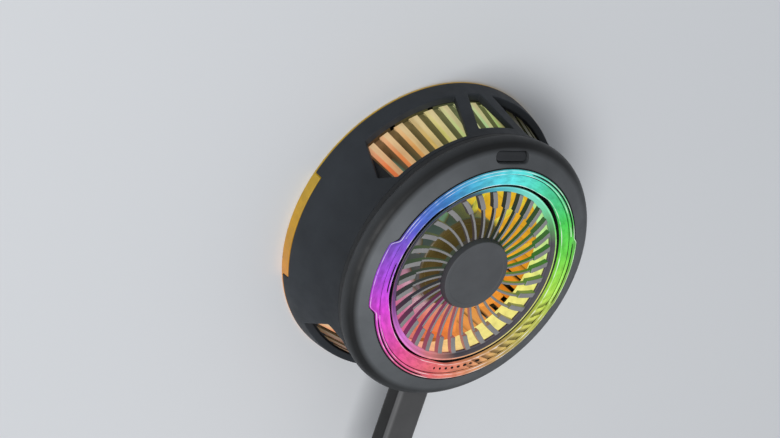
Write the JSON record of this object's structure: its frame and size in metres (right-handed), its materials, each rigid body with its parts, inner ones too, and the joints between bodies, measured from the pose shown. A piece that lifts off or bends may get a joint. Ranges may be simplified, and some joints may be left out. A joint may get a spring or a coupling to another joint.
{
  "type": "phone cooling fan",
  "caption": "Round magnetic cooler for the back of a phone: cold plate, heatsink and fan in a waisted housing with a vaned intake, light ring, side windows and a USB-C lead.",
  "frame": {"origin": "on the fan's axis, in the plane of the cold face that meets the phone", "axes": "+Z along the fan's axis out of the front grille, +Y towards the mode button, and the lead leaves along -Y"},
  "size_m": [0.0597, 0.1723, 0.0208],
  "materials": {
    "housing_plastic": "fine matte texture",
    "cover_plastic": "soft satin",
    "light_guide": "frosted and lit from behind in changing hues",
    "collar_guide": "frosted and lit from behind",
    "grille_plastic": "satin",
    "cap_plastic": "satin, plain",
    "button_plastic": "satin",
    "fan_plastic": "smoked and half clear",
    "fin_metal": "extruded",
    "cold_metal": "fine turned",
    "steel": "bright",
    "core_steel": "laminated",
    "magnet_metal": "nickel plated",
    "ferrite": "ground",
    "copper": "enamelled wire",
    "bronze": "sintered",
    "board": "solder mask",
    "led_white": "clear resin",
    "ceramic": "fired alumina",
    "pellet": "cut",
    "foam": "closed-cell foam",
    "base_plastic": "matte",
    "silicone": "soft matte",
    "glow_guide": "frosted amber",
    "plug_plastic": "soft satin",
    "lead_jacket": "matte",
    "tie_strap": "hook and loop"
  },
  "bodies": {
    "body": {"side_housing": "housing_plastic", "front_cover": "cover_plastic", "light_ring": "light_guide", "ring_collar": "collar_guide", "intake_grille": "grille_plastic", "hub_cap": "cap_plastic", "switch_body": "steel", "main_board": "board", "leds": "led_white", "board_screws": "steel", "usb_socket": "steel", "socket_tongue": "base_plastic", "motor_base": "base_plastic", "bearing_bush": "bronze", "stator_core": "core_steel", "stator_windings": "copper", "motor_screws": "steel", "heatsink": "fin_metal", "sink_screws": "steel", "tec_hot_ceramic": "ceramic", "tec_pellets": "pellet", "tec_cold_ceramic": "ceramic", "foam_seal": "foam", "cold_plate": "cold_metal", "base_ring": "base_plastic", "base_screws": "steel", "phone_magnets": "magnet_metal", "silicone_pad": "silicone", "glow_ring": "glow_guide"},
    "fan": {"fan_rotor": "fan_plastic", "rotor_yoke": "core_steel", "rotor_magnet": "ferrite", "fan_shaft": "steel"},
    "button": {"mode_button": "button_plastic", "switch_plunger": "button_plastic"},
    "lead": {"plug_shell": "steel", "plug_grip": "plug_plastic", "plug_boot": "plug_plastic", "lead_run": "lead_jacket", "lead_coil": "lead_jacket", "coil_tie": "tie_strap", "lead_tail": "lead_jacket", "far_boot": "plug_plastic", "far_grip": "plug_plastic", "far_shell": "steel"}
  },
  "joints": [
    {"name": "fan_spin", "type": "hinge", "parent": "body", "child": "fan", "pos_m": [0, 0, 0.012], "axis": [0, 0, 1], "continuous": true},
    {"name": "button_press", "type": "slide", "parent": "body", "child": "button", "axis": [0, 0, -1], "range_m": [0, 0.0004], "stiffness_N_per_m": 1500},
    {"name": "plug_pull", "type": "slide", "parent": "body", "child": "lead", "axis": [0, -1, 0], "range_m": [0, 0.01]}
  ]
}
